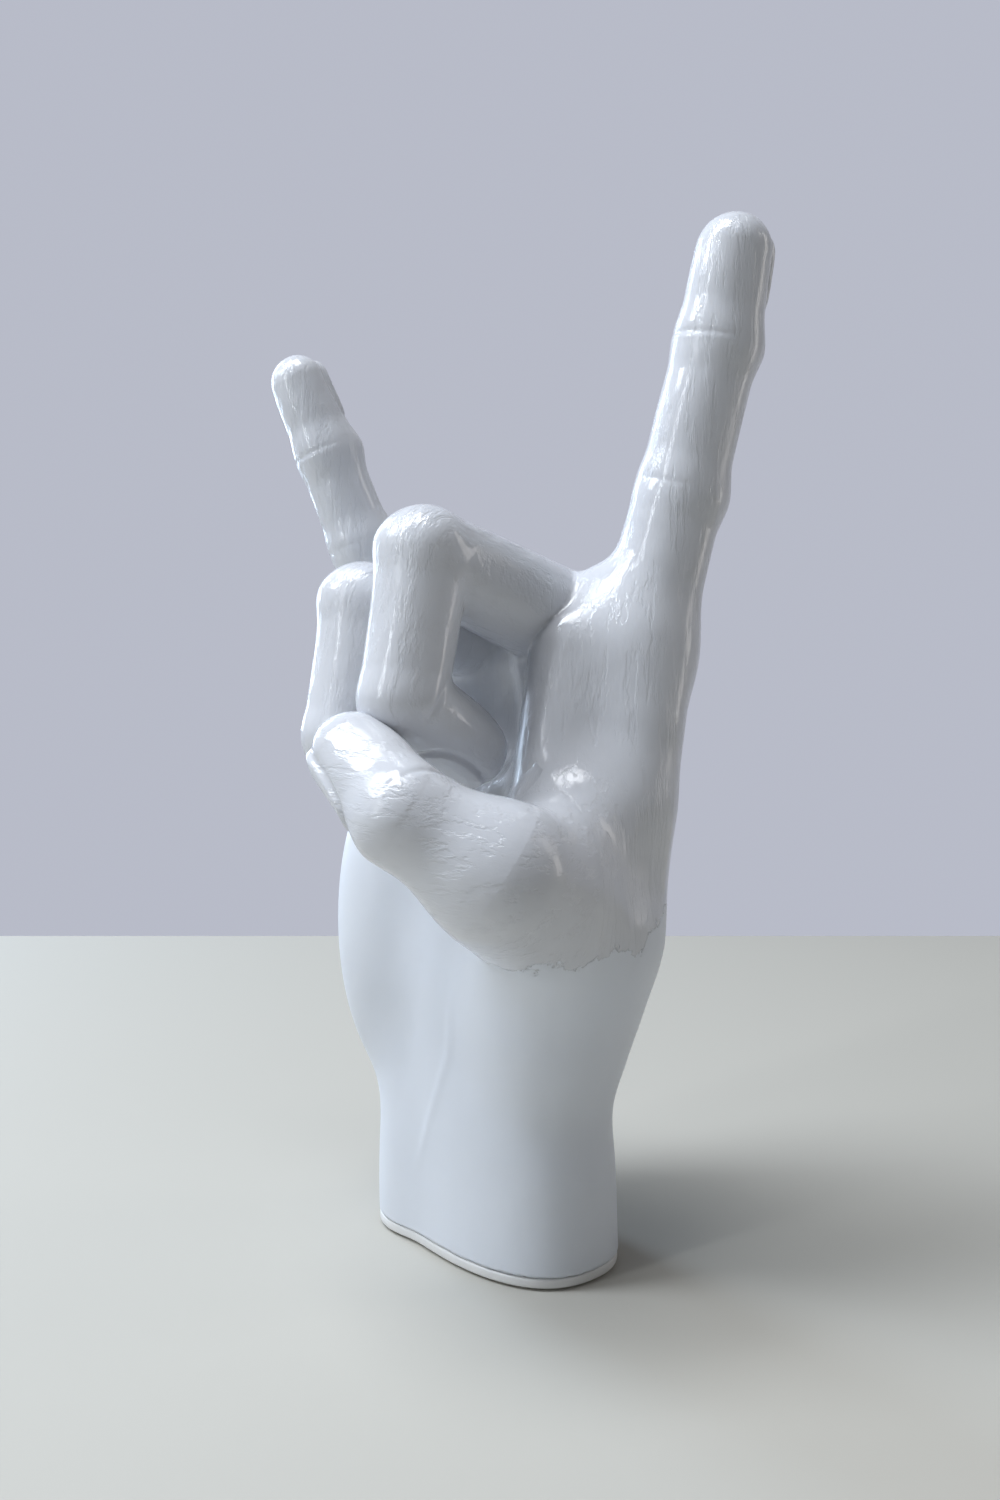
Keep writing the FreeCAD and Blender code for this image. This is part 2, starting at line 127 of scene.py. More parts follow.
tip_softness = 3

# Curled fingers: which pieces give way to them, and the gap and its rounding. Then how fast the palm fades
# from a digit beyond its seat, and how a curled finger's flow into the palm gets sharper towards its seat
curled = ("middle_finger", "ring_finger")
presses_into = {
    "ring_finger": ("middle_finger",),
    "thumb": ("middle_finger", "ring_finger"),
    "hand_body": ("middle_finger", "ring_finger"),
}
touch_gap = 0.3
touch_round = 0.4
root_fade = 0.12
curled_flow_length = 10.0
least_flow_share = 0.04

# How near a digit's first bone the casting's spare skin is dropped, and is cut flat at the seat
spare_reach = 4
cut_reach = 6

# Fades of the marks past a seat, and of a line at its ends and where the hand turns to its other side
mark_fade_length = 5.0
line_fade_length = 14.0
line_fade_depth = 6
line_fade_start = 0.3

# Nails: how square their outline is, their soft edge, and the groove round them
nail_squareness = 3
nail_edge_width = 0.7
nail_groove_offset = 0.55
nail_groove_width = 0.45
nail_groove_depth = 0.35

# Foot plate: the joint line above it, its band, its floor, and the angle from which an edge stays sharp
plate_joint = 0.15
plate_inset = 0.1
plate_band_width = 4.0
plate_edge_round = 0.45
plate_edge_points = 4
plate_floor_level = 0.1
plate_floor_thickness = 1.2
plate_sharp_angle = 40

# Outline of the foot: its points, their height above the foot, and how far out and how often it is sought
outline_points = 144
outline_rise = 3
outline_reach = 45.0
outline_rounds = 30

# Lower edge of the gloss coat, in metres: its height under the thumb, how far it wanders, where and how
# steeply it rises to the little finger's side and to the back, and its width on that side and the thumb's
coat_height = 0.0705
coat_wander = 0.020
coat_side_start = 0.012
coat_side_slope = 0.75
coat_back_start = -0.005
coat_back_slope = 0.6
coat_soft_x = 0.002
coat_soft_width = 0.022
coat_crisp_x = 0.016
coat_crisp_width = 0.0005

# Small numbers that keep a division away from zero, and the distances within which points are one
guard = 1e-6
fine_guard = 1e-9
cut_weld = 1e-5
plate_weld = 1e-6

# The eight corners of a cell of the grid
cell_corners = [(i, j, k) for i in (0, 1) for j in (0, 1) for k in (0, 1)]


def unit(vector):
    """Return the vector at length 1."""
    vector = np.asarray(vector, float)
    return vector / np.linalg.norm(vector)


def smooth_step(share):
    """Return a share from 0 to 1 with soft ends."""
    return share * share * (3 - 2 * share)


def smooth_min(a, b, softness):
    """Return the smaller of two distances, rounded where they meet."""
    blend = np.clip(0.5 + 0.5 * (b - a) / softness, 0, 1)
    return b + (a - b) * blend - softness * blend * (1 - blend)


def smooth_max(a, b, softness):
    """Return the larger of two distances, rounded where they meet."""
    return -smooth_min(-a, -b, softness)


def bone(p, start, end, start_radius, end_radius):
    """Return the distance to a round tapered bone."""
    start = np.asarray(start, float)
    reach = np.asarray(end, float) - start
    share = np.clip((p - start) @ reach / (reach @ reach), 0, 1)
    rest = p - start - share[:, None] * reach
    return np.sqrt((rest * rest).sum(1)) - start_radius - (end_radius - start_radius) * share


def ellipsoid(p, middle, half_sizes):
    """Return nearly the distance to an ellipsoid."""
    q = (p - np.asarray(middle, float)) / np.asarray(half_sizes, float)
    size = np.sqrt((q * q).sum(1))
    slope = np.sqrt(((q / np.asarray(half_sizes, float)) ** 2).sum(1)) + fine_guard
    return size * (size - 1) / slope


def section_value(z, column):
    """Return a value of the palm's sections at heights, smoothly between the sections."""
    heights = palm_sections[:, 0]
    values = palm_sections[:, column]
    slopes = np.gradient(values, heights)
    z = np.clip(z, heights[0], heights[-1])
    low = np.clip(np.searchsorted(heights, z) - 1, 0, len(heights) - 2)
    span = heights[low + 1] - heights[low]
    share = (z - heights[low]) / span
    start = values[low] * (1 + 2 * share) + slopes[low] * span * share
    end = values[low + 1] * (3 - 2 * share) - slopes[low + 1] * span * (1 - share)
    return start * (1 - share) ** 2 + end * share ** 2


def palm_column(p):
    """Return nearly the distance to the squarish oval column of the palm and wrist, without its end."""
    middle_x, middle_y, half_x, half_y, turn = (section_value(p[:, 2], column) for column in range(1, 6))
    n = palm_squareness
    cosine = np.cos(np.radians(turn))
    sine = np.sin(np.radians(turn))
    x = np.abs(((p[:, 0] - middle_x) * cosine + (p[:, 1] - middle_y) * sine) / half_x)
    y = np.abs(((p[:, 1] - middle_y) * cosine - (p[:, 0] - middle_x) * sine) / half_y)
    size = (x ** n + y ** n) ** (1 / n) + guard
    slope = np.hypot(x ** (n - 1) / half_x, y ** (n - 1) / half_y) / size ** (n - 1) + guard
    return np.where(size < palm_core, -np.minimum(half_x, half_y) * (1 - size), (size - 1) / slope)


def palm(p):
    """Return nearly the distance to the palm and wrist, without the digits."""
    d = smooth_max(palm_column(p), p[:, 2] - palm_top, palm_top_round)
    for middle, half_sizes, softness in palm_masses.values():
        d = smooth_min(d, ellipsoid(p, middle, half_sizes), softness)
    d = smooth_min(d, bone(p, *index_ray[:4]), index_ray[4])
    d = smooth_max(d, -ellipsoid(p, *palm_cup[:2]), palm_cup[2])
    return smooth_min(d, bone(p, *palm_ridge[:4]), palm_ridge[4])


def digit_bones(p, name, first, last):
    """Return the distance to a digit's bones from number first up to, not including, number last."""
    form = digits[name]
    joints = form["joints"]
    radii = form["radii"]
    d = None
    for number in range(first, last):
        part = bone(p, joints[number], joints[number + 1], radii[number], radii[number + 1])
        if number == 0 and name == "thumb":
            part = smooth_min(part, bone(p, *thumb_web[:4]), thumb_web[4])
        softness = form["softness"] if number < 2 else min(tip_softness, form["softness"])
        d = part if d is None else smooth_min(d, part, softness)
    return d


def beyond_seat(p, name):
    """Return how far points lie beyond a digit's seat, on the digit's side."""
    point, direction = digits[name]["seat"]
    return (p - np.asarray(point, float)) @ unit(direction)


def hand_form(p, owner):
    """Return the distance to the hand's skin as its owner has it: the casting, or one of the digits.

    A digit flows into the casting at its seat and loses it beyond, and the casting has only first bones.
    """
    away = 0
    if owner in digits:
        away = root_fade * np.clip(beyond_seat(p, owner), 0, None) ** 2
    d = palm(p) + away
    for name, form in digits.items():
        if owner in curled and name in curled and name != owner:
            continue
        flow = form["flow"]
        if name in curled:
            flow = flow * np.clip(-beyond_seat(p, name) / curled_flow_length, least_flow_share, 1)
        if name == owner:
            part = digit_bones(p, name, 0, 3)
        else:
            part = digit_bones(p, name, 0, 1) + away
        d = smooth_min(d, part, flow)
    for name in presses_into.get(owner, ()):
        first = 1 if owner == "hand_body" else 0
        d = smooth_max(d, touch_gap - digit_bones(p, name, first, 3), touch_round)
    return smooth_max(d, casting_foot - p[:, 2], foot_round)


def slope_of(field, p, reach=0.05):
    """Return a field's slope at points."""
    slope = np.empty_like(p)
    for axis in range(3):
        offset = np.zeros(3)
        offset[axis] = reach
        slope[:, axis] = (field(p + offset) - field(p - offset)) / (2 * reach)
    return slope


def settle(field, p, rounds=2, longest_move=1):
    """Return the points moved onto the skin."""
    for _ in range(rounds):
        slope = slope_of(field, p)
        move = np.clip(field(p) / ((slope * slope).sum(1) + guard), -longest_move, longest_move)
        p = p - move[:, None] * slope
    return p


# Netting a skin from its form


def field_grid(field, low, counts, step, slab=16):
    """Return a field's values on a grid of points, worked out slab by slab."""
    lines = [low[axis] + step * np.arange(counts[axis]) for axis in range(3)]
    values = np.empty(counts)
    for start in range(0, counts[0], slab):
        grid = np.meshgrid(lines[0][start:start + slab], lines[1], lines[2], indexing="ij")
        p = np.stack([line.ravel() for line in grid], 1)
        values[start:start + slab] = field(p).reshape(grid[0].shape)
    return values


def net_points(values, crossed):
    """Return a point of each crossed cell, in grid steps: the middle of where its edges meet the skin."""
    total = np.zeros((len(crossed), 3))
    hits = np.zeros(len(crossed))
    for a in cell_corners:
        for b in cell_corners:
            if a >= b or sum(b) - sum(a) != 1 or sum(abs(m - n) for m, n in zip(a, b)) != 1:
                continue
            value_a = values[tuple((crossed + a).T)]
            value_b = values[tuple((crossed + b).T)]
            hit = (value_a < 0) != (value_b < 0)
            share = value_a[hit] / (value_a[hit] - value_b[hit])
            total[hit] += np.asarray(a) + (np.asarray(b) - np.asarray(a)) * share[:, None]
            hits[hit] += 1
    return crossed + total / hits[:, None]


def net_quads(inside, number):
    """Return the quads that join the numbered cells round each grid edge that crosses the skin."""
    counts = inside.shape
    quads = []
    for axis in range(3):
        side, up = (axis + 1) % 3, (axis + 2) % 3
        ahead, back, down = np.eye(3, dtype=int)[[axis, side, up]]
        near = inside[tuple(slice(0, counts[n] - ahead[n]) for n in range(3))]
        far = inside[tuple(slice(ahead[n], counts[n]) for n in range(3))]
        edges = np.argwhere(near != far)
        kept = (edges[:, side] > 0) & (edges[:, up] > 0)
        kept &= (edges[:, side] < counts[side] - 1) & (edges[:, up] < counts[up] - 1)
        edges = edges[kept]
        around = [edges - back - down, edges - down, edges, edges - back]
        quad = np.stack([number[tuple(place.T)] for place in around], 1)
        outward = near[tuple(edges.T)]
        quad[~outward] = quad[~outward][:, ::-1]
        quads.append(quad)
    return np.concatenate(quads)


def surface_net(field, low, high, step):
    """Return points and quads of the skin inside a box, one point for each grid cell that it crosses."""
    counts = [int((high[axis] - low[axis]) / step) + 2 for axis in range(3)]
    values = field_grid(field, low, counts, step)
    inside = values < 0
    cells = [size - 1 for size in counts]
    filled = sum(
        inside[i:cells[0] + i, j:cells[1] + j, k:cells[2] + k].astype(np.int8) for i, j, k in cell_corners
    )
    crossed = np.argwhere((filled > 0) & (filled < len(cell_corners)))
    number = -np.ones(cells, np.int64)
    number[tuple(crossed.T)] = np.arange(len(crossed))
    points = net_points(values, crossed) * step + np.asarray(low, float)
    return points, net_quads(inside, number)


def split_quads(points, quads):
    """Return every quad split into four."""
    edges = np.concatenate([quads[:, [side, (side + 1) % 4]] for side in range(4)])
    edges.sort(1)
    edges, which = np.unique(edges, axis=0, return_inverse=True)
    which = which.ravel() + len(points)
    count = len(quads)
    middle = np.arange(count) + len(points) + len(edges)
    side = [which[number * count:(number + 1) * count] for number in range(4)]
    split = [np.stack([quads[:, n], side[n], middle, side[n - 1]], 1) for n in range(4)]
    return np.concatenate([points, points[edges].mean(1), points[quads].mean(1)]), np.concatenate(split)


def keep_faces(points, quads, kept):
    """Return only the kept quads and the points that they use."""
    quads = quads[kept]
    used = np.unique(quads)
    renumber = np.zeros(len(points), np.int64)
    renumber[used] = np.arange(len(used))
    return points[used], renumber[quads]


def keep_joined(points, quads, place):
    """Return only the skin that is joined to the point nearest a place."""
    label = np.arange(len(points))
    while True:
        lowest = label[quads].min(1)
        new = label.copy()
        for corner in range(4):
            np.minimum.at(new, quads[:, corner], lowest)
        new = new[new]
        if (new == label).all():
            break
        label = new
    nearest = ((points - np.asarray(place, float)) ** 2).sum(1).argmin()
    return keep_faces(points, quads, label[quads[:, 0]] == label[nearest])


# Marks on the skin, in millimetres


class Mark:
    """A soft bump or dent at a place, with its own axes, sizes along them and height."""

    def __init__(self, middle, axes, sizes, height):
        self.middle = np.asarray(middle, float)
        self.axes = np.array(axes, float)
        self.sizes = np.asarray(sizes, float)
        self.height = height

    def at(self, p):
        """Return how far the mark raises the skin at points."""
        q = ((p - self.middle) @ self.axes.T) / self.sizes
        return self.height * np.exp(-(q * q).sum(1))


class Line:
    """A soft ridge or groove along a line of points, on the front or the back of the hand."""

    def __init__(self, points, width, height, facing):
        self.points = [np.array((x, 0, z), float) for x, z in points]
        self.width = width
        self.height = height
        self.facing = facing

    def at(self, p):
        """Return how far the line raises the skin at points."""
        flat = p * np.array((1, 0, 1))
        nearest = np.full(len(p), np.inf)
        for start, end in zip(self.points, self.points[1:]):
            nearest = np.minimum(nearest, bone(flat, start, end, 0, 0))
        side = np.clip(p[:, 1] * self.facing / line_fade_depth - line_fade_start, 0, 1)
        low = min(point[2] for point in self.points)
        high = max(point[2] for point in self.points)
        ends = np.clip(np.minimum(p[:, 2] - low, high - p[:, 2]) / line_fade_length, 0, 1)
        return self.height * side * ends * ends * (3 - 2 * ends) * np.exp(-(nearest / self.width) ** 2)


class Nail:
    """A nail on the back of a digit's last bone: a flat plate with a groove round it."""

    def __init__(self, middle, axes, half_length, half_width, proud):
        self.middle = np.asarray(middle, float)
        self.axes = np.array(axes, float)
        self.half_length = half_length
        self.half_width = half_width
        self.proud = proud

    def at(self, p):
        """Return how far the nail raises the skin at points."""
        along, across, out = ((p - self.middle) @ self.axes.T).T
        n = nail_squareness
        size = ((np.abs(along) / self.half_length) ** n + (np.abs(across) / self.half_width) ** n) ** (1 / n)
        edge = (1 - size) * self.half_width
        plate = smooth_step(np.clip(edge / nail_edge_width + 0.5, 0, 1))
        groove = np.exp(-((edge + nail_groove_offset) / nail_groove_width) ** 2)
        return np.where(out > 0, self.proud * plate - nail_groove_depth * groove, 0)


def bone_axes(name, number):
    """Return a bone's start, length, and its directions along, across to the thumb side, and back."""
    form = digits[name]
    start = np.asarray(form["joints"][number], float)
    reach = np.asarray(form["joints"][number + 1], float) - start
    along = unit(reach)
    back = form.get("back")
    if back is None:
        curl = math.atan2(-along[1], along[2])
        back = (0, math.cos(curl), math.sin(curl))
    back = unit(np.asarray(back, float) - along * (along @ np.asarray(back, float)))
    return start, np.linalg.norm(reach), along, np.cross(back, along), back


def skin_mark(name, number, share, turn, sizes, height):
    """Return a mark on a digit's skin: on a bone, at a share of its length, turned from its back."""
    start, length, along, across, back = bone_axes(name, number)
    radii = digits[name]["radii"]
    radius = radii[number] + (radii[number + 1] - radii[number]) * min(1, max(0, share))
    out = back * math.cos(math.radians(turn)) + across * math.sin(math.radians(turn))
    tangent = np.cross(along, out)
    middle = start + along * (share * length) + out * radius
    return Mark(middle, (along, tangent, out), sizes, height)


def nail(name, start_share, past_tip, width_share, proud):
    """Return the nail of a digit, from a share of its last bone to a little past the tip's middle."""
    start, length, along, across, back = bone_axes(name, 2)
    radius = digits[name]["radii"][3]
    low = start_share * length
    high = length + past_tip * radius
    middle = start + along * (low + high) / 2
    return Nail(middle, (along, across, back), (high - low) / 2, width_share * radius, proud)


# Marks of each kind of digit: the bone's number, the share of its length, the turn in degrees from its back,
# the sizes along, across and out of the skin, and the height
raised_finger = [
    (0, 0.78, 180, (7, 7, 7), 0.3),
    (1, 0.50, 180, (9, 7, 7), 0.3),
    (2, 0.75, 180, (8, 7, 7), 0.6),
    (1, 0.00, 180, (2.4, 7, 7), -0.20),
    (1, 0.02, 180, (0.7, 7, 7), -0.10),
    (2, 0.00, 180, (2.0, 7, 7), -0.22),
    (2, 0.02, 180, (0.6, 9, 7), -0.17),
    (2, -0.03, 180, (1.0, 9, 7), 0.12),
    (1, -0.02, 20, (5, 6, 7), 0.9),
    (2, -0.02, 20, (3.2, 5, 7), 0.8),
    (1, 0.45, 0, (8, 7, 7), -0.3),
]
first_joint_wrinkles = [(1, 0.058 * number, 0, (0.5, 4.5, 7), -0.22) for number in range(-2, 3)]
last_joint_wrinkles = [(2, 0.10 * number - 0.04, 0, (0.45, 3.5, 7), -0.18) for number in (-1, 0, 1)]
curled_finger = [
    (1, -0.04, -35, (6, 6, 6), 0.7),
    (1, 0.50, 0, (9, 4, 7), -0.25),
    (2, -0.02, -25, (5, 6, 6), 0.5),
    (2, 0.08, 90, (0.8, 4, 6), -0.45),
    (2, 0.08, 270, (0.8, 4, 6), -0.45),
    (2, 0.80, 180, (6, 6, 6), 0.6),
    (0, 0.70, 90, (10, 4, 6), -0.3),
]
folded_thumb = [
    (2, 0.00, 0, (5, 8, 8), 0.5),
    (2, 0.70, 180, (7, 7, 8), 0.8),
    (2, 0.02, 180, (0.8, 8, 8), -0.4),
    (1, 0.50, 180, (7, 8, 8), -0.3),
]

# Lines of the palm: a cord of the wrist, the hollow beside it and a crease
palm_lines = [
    Line(((2.5, 60), (2.4, 45), (-3.8, 29), (-9.3, 14)), 1.3, 0.22, -1),
    Line(((3.6, 84), (2.2, 70), (2.2, 50)), 3.0, -0.35, -1),
    Line(((-30, 104), (-12, 108), (6, 116)), 1.0, -0.3, -1),
]

# Tendons on the back of the hand, from the index finger to the little finger
tendons = [
    Line(((23, 116), (15, 84)), 2.8, 0.25, 1),
    Line(((9, 122), (6, 80)), 2.8, 0.30, 1),
    Line(((-10, 120), (-5, 82)), 2.8, 0.25, 1),
    Line(((-26, 110), (-16, 84)), 2.6, 0.20, 1),
]


def digit_marks(name, rows, fingernail, size=1.0):
    """Return the marks of a digit from rows, with their heights times size, and its nail."""
    return [skin_mark(name, *place, height * size) for *place, height in rows] + [nail(name, *fingernail)]


raised_rows = raised_finger + first_joint_wrinkles + last_joint_wrinkles
marks = {
    "index_finger": digit_marks("index_finger", raised_rows, (0.36, 0.70, 0.78, 0.55)),
    "little_finger": digit_marks("little_finger", raised_rows, (0.38, 0.66, 0.78, 0.45), size=0.8),
    "middle_finger": digit_marks("middle_finger", curled_finger, (0.42, 0.60, 0.74, 0.5)),
    "ring_finger": digit_marks("ring_finger", curled_finger, (0.42, 0.60, 0.74, 0.5)),
    "thumb": digit_marks("thumb", folded_thumb, (0.30, 0.75, 0.80, 0.7)),
    "hand_body": palm_lines + tendons,
}


# Materials


def node_adder(tree):
    """Return a function that adds a node to a tree, sets it up and links or sets its inputs."""
    def add(kind, inputs=None, **settings):
        node = tree.nodes.new(kind)
        for key, value in settings.items():
            setattr(node, key, value)
        for key, value in (inputs or {}).items():
            if isinstance(value, bpy.types.NodeSocket):
                tree.links.new(value, node.inputs[key])
            else:
                node.inputs[key].default_value = value
        return node

    return add


class Finish:
    """A material in the making, with short ways to add what its shader reads."""

    def __init__(self, name):
        self.material = bpy.data.materials.new(name)
        self.material.use_nodes = True
        self.tree = self.material.node_tree
        self.shader = self.tree.nodes["Principled BSDF"]
        self.add = node_adder(self.tree)

    def give(self, socket, value):
        """Set a socket of the shader, or link it to what it follows."""
        if isinstance(value, bpy.types.NodeSocket):
            self.tree.links.new(value, self.shader.inputs[socket])
        else:
            self.shader.inputs[socket].default_value = value

    def place(self):
        """Return the place on the object, in metres."""
        return self.add("ShaderNodeTexCoord").outputs["Object"]

    def noise(self, place, scale, detail, roughness=0.5, distortion=0.0):
        """Return soft noise from 0 to 1."""
        inputs = {"Vector": place, "Scale": scale, "Detail": detail}
        inputs.update({"Roughness": roughness, "Distortion": distortion})
        return self.add("ShaderNodeTexNoise", inputs).outputs["Fac"]

    def calc(self, operation, a, b):
        """Return the result of an operation on two values."""
        return self.add("ShaderNodeMath", {0: a, 1: b}, operation=operation).outputs[0]

    def ramp(self, value, low, high, start, end):
        """Return what goes from start to end while a value goes from low to high."""
        return self.add("ShaderNodeMapRange", {0: value, 1: low, 2: high, 3: start, 4: end}).outputs[0]

    def colour(self, share, start, end, blend="MIX"):
        """Return a share of the way from one colour to another, or one blended over the other."""
        inputs = {"Fac": share, "Color1": start, "Color2": end}
        return self.add("ShaderNodeMixRGB", inputs, blend_type=blend).outputs["Color"]

    def bump(self, height, strength, distance, normal=None):
        """Return the normal of a relief, on top of another normal if there is one."""
        inputs = {"Strength": strength, "Distance": distance, "Height": height}
        if normal is not None:
            inputs["Normal"] = normal
        return self.add("ShaderNodeBump", inputs).outputs[0]


def gloss_coat(glaze, place):
    """Return how far the gloss coat covers a place: none below its ragged edge, all above it.

    The edge fades out on the little finger's side and is crisp under the thumb.
    """
    split = glaze.add("ShaderNodeSeparateXYZ", {"Vector": place})
    x, y, z = (split.outputs[axis] for axis in "XYZ")
    wander = glaze.noise(place, scale=75.0, detail=6.0, roughness=0.72)
    swing = glaze.calc("MULTIPLY", glaze.calc("SUBTRACT", wander, 0.5), coat_wander)
    past_side = glaze.calc("MAXIMUM", glaze.calc("SUBTRACT", coat_side_start, x), 0.0)
    past_back = glaze.calc("MAXIMUM", glaze.calc("SUBTRACT", y, coat_back_start), 0.0)
    side_rise = glaze.calc("MULTIPLY", past_side, coat_side_slope)
    back_rise = glaze.calc("MULTIPLY", past_back, coat_back_slope)
    edge = glaze.calc("ADD", glaze.calc("ADD", coat_height, side_rise), glaze.calc("ADD", back_rise, swing))
    width = glaze.ramp(x, coat_soft_x, coat_crisp_x, coat_soft_width, coat_crisp_width)
    above = glaze.calc("DIVIDE", glaze.calc("SUBTRACT", z, edge), width)
    return glaze.ramp(above, -0.5, 0.5, 0.0, 1.0)


def white_glaze(name, strokes, torn_share):
    """White body under a gloss coat brushed along its strokes, down to a ragged edge above the wrist.

    Below the edge the surface is satin. The torn share says how far the brush has torn upper sides.
    """
    glaze = Finish(name)
    place = glaze.place()
    coat = gloss_coat(glaze, place)

    satin_white = (0.75, 0.78, 0.83, 1)
    gloss_white = (0.69, 0.70, 0.73, 1)
    clouds = glaze.noise(place, scale=28.0, detail=3.0)
    tint = glaze.colour(clouds, (0.90, 0.905, 0.92, 1), (1.0, 1.0, 1.0, 1))
    body = glaze.colour(coat, satin_white, gloss_white)
    glaze.give("Base Color", glaze.colour(1.0, body, tint, blend="MULTIPLY"))

    along = glaze.add("ShaderNodeMapping", {"Vector": place, "Scale": strokes}).outputs[0]
    brushed = glaze.noise(along, scale=260.0, detail=5.0, roughness=0.65)
    patches = glaze.calc("MULTIPLY", glaze.ramp(brushed, 0.42, 0.50, 0.0, 1.0), coat)
    gloss = glaze.ramp(patches, 0.0, 1.0, 0.22, 0.035)
    glaze.give("Roughness", glaze.add("ShaderNodeMix", {0: coat, 2: 0.42, 3: gloss}).outputs[0])

    waves = glaze.noise(place, scale=85.0, detail=2.0)
    hairs = glaze.calc("MULTIPLY", glaze.noise(along, scale=1400.0, detail=4.0, roughness=0.6), coat)
    drags = glaze.ramp(glaze.noise(along, scale=620.0, detail=3.0, roughness=0.6), 0.44, 0.58, 0.0, 1.0)
    facing = glaze.add("ShaderNodeNewGeometry").outputs["Normal"]
    up = glaze.add("ShaderNodeSeparateXYZ", {"Vector": facing}).outputs["Z"]
    torn = glaze.calc("MULTIPLY", drags, glaze.ramp(up, 0.35, 0.8, 0.0, torn_share))
    skin = glaze.bump(waves, strength=0.22, distance=0.0012)
    skin = glaze.bump(patches, strength=0.60, distance=0.00012, normal=skin)
    skin = glaze.bump(hairs, strength=0.22, distance=0.0002, normal=skin)
    skin = glaze.bump(torn, strength=0.6, distance=0.00025, normal=skin)
    glaze.give("Normal", glaze.bump(coat, strength=0.6, distance=0.0002, normal=skin))

    glaze.give("IOR", 1.52)
    glaze.give("Subsurface Weight", 0.15)
    glaze.give("Subsurface Radius", (1.0, 0.9, 0.8))
    glaze.give("Subsurface Scale", 0.002)
    return glaze.material


def satin_plate():
    """Off-white satin plate with a fine cloudy grain."""
    satin = Finish("satin_plate")
    grain = satin.noise(satin.place(), scale=450.0, detail=4.0)
    satin.give("Base Color", satin.colour(grain, (0.70, 0.70, 0.69, 1), (0.80, 0.79, 0.77, 1)))
    satin.give("Roughness", satin.ramp(grain, 0.3, 0.7, 0.32, 0.5))
    satin.give("Normal", satin.bump(grain, strength=0.3, distance=0.0002))
    return satin.material


def dark_felt():
    """Dark felt with short crossing fibres."""
    felt = Finish("dark_felt")
    fibres = felt.noise(felt.place(), scale=1500.0, detail=6.0, roughness=0.8, distortion=2.0)
    felt.give("Base Color", felt.colour(fibres, (0.03, 0.03, 0.032, 1), (0.12, 0.12, 0.125, 1)))
    felt.give("Normal", felt.bump(fibres, strength=0.8, distance=0.0003))
    felt.give("Roughness", 0.95)
    felt.give("Sheen Weight", 0.4)
    return felt.material


def floor_paint():
    """Plain pale paint of the floor."""
    paint = Finish("floor_paint")
    paint.give("Base Color", (0.50, 0.48, 0.43, 1))
    paint.give("Roughness", 0.75)
    return paint.material


# Pieces


def added(name, data):
    """Return a new object in the scene."""
    made = bpy.data.objects.new(name, data)
    bpy.context.scene.collection.objects.link(made)
    return made


def near_seat(p, name, reach):
    """Return which points lie beyond a digit's seat and close round the digit."""
    return (beyond_seat(p, name) > reach) & (digit_bones(p, name, 0, 1) < spare_reach)


def sculpt(owner, low, high, step, splits):
    """Return the netted skin of the casting or a digit, with a little left over past each seat."""
    def field(p):
        return hand_form(p, owner)

    points, quads = surface_net(field, low, high, step)
    middles = points[quads].mean(1)
    if owner in digits:
        points, quads = keep_faces(points, quads, beyond_seat(middles, owner) > -2 * step)
        points, quads = keep_joined(points, quads, digits[owner]["joints"][3])
    else:
        spare = np.zeros(len(quads), bool)
        for name in digits:
            spare |= near_seat(middles, name, 2 * step)
        points, quads = keep_faces(points, quads, ~spare)
        points, quads = keep_joined(points, quads, (0, 0, casting_foot))
    points = settle(field, points)
    for _ in range(splits):
        points, quads = split_quads(points, quads)
        points = settle(field, points)
    return points, quads


def past_seat(work, owner, name):
    """Return how far each face lies past a digit's seat, out of the piece, and which lie close round it."""
    middles = np.array([face.calc_center_median() for face in work.faces])
    if owner in digits:
        return -beyond_seat(middles, name), np.ones(len(middles), bool)
    return beyond_seat(middles, name), digit_bones(middles, name, 0, 1) < cut_reach


def cut_at_seats(owner, points, quads, step):
    """Return a mesh of the piece cut along its seats and closed there, and how many faces close it."""
    mesh = bpy.data.meshes.new(owner + "_skin")
    mesh.from_pydata(points.tolist(), [], quads.tolist())
    work = bmesh.new()
    work.from_mesh(mesh)
    for name in ([owner] if owner in digits else digits):
        point, direction = digits[name]["seat"]
        past, close = past_seat(work, owner, name)
        faces = [face for face, near in zip(work.faces, close & (np.abs(past) < 3 * step)) if near]
        parts = set(faces)
        for face in faces:
            parts.update(face.edges)
            parts.update(face.verts)
        bmesh.ops.bisect_plane(
            work, geom=list(parts), dist=cut_weld, plane_co=point, plane_no=unit(direction)
        )
        past, close = past_seat(work, owner, name)
        doomed = [face for face, gone in zip(work.faces, close & (past > 0)) if gone]
        bmesh.ops.delete(work, geom=doomed, context="FACES")
    skin_faces = len(work.faces)
    rims = [edge for edge in work.edges if edge.is_boundary]
    bmesh.ops.holes_fill(work, edges=rims, sides=0)
    caps = len(work.faces) - skin_faces
    work.to_mesh(mesh)
    work.free()
    return mesh, caps


def mark_height(owner, p):
    """Return how far the marks of a piece raise its skin at points."""
    height = np.zeros(len(p))
    for mark in marks[owner]:
        height += mark.at(p)
    if owner in digits:
        height *= smooth_step(np.clip(beyond_seat(p, owner) / mark_fade_length, 0, 1))
    return height


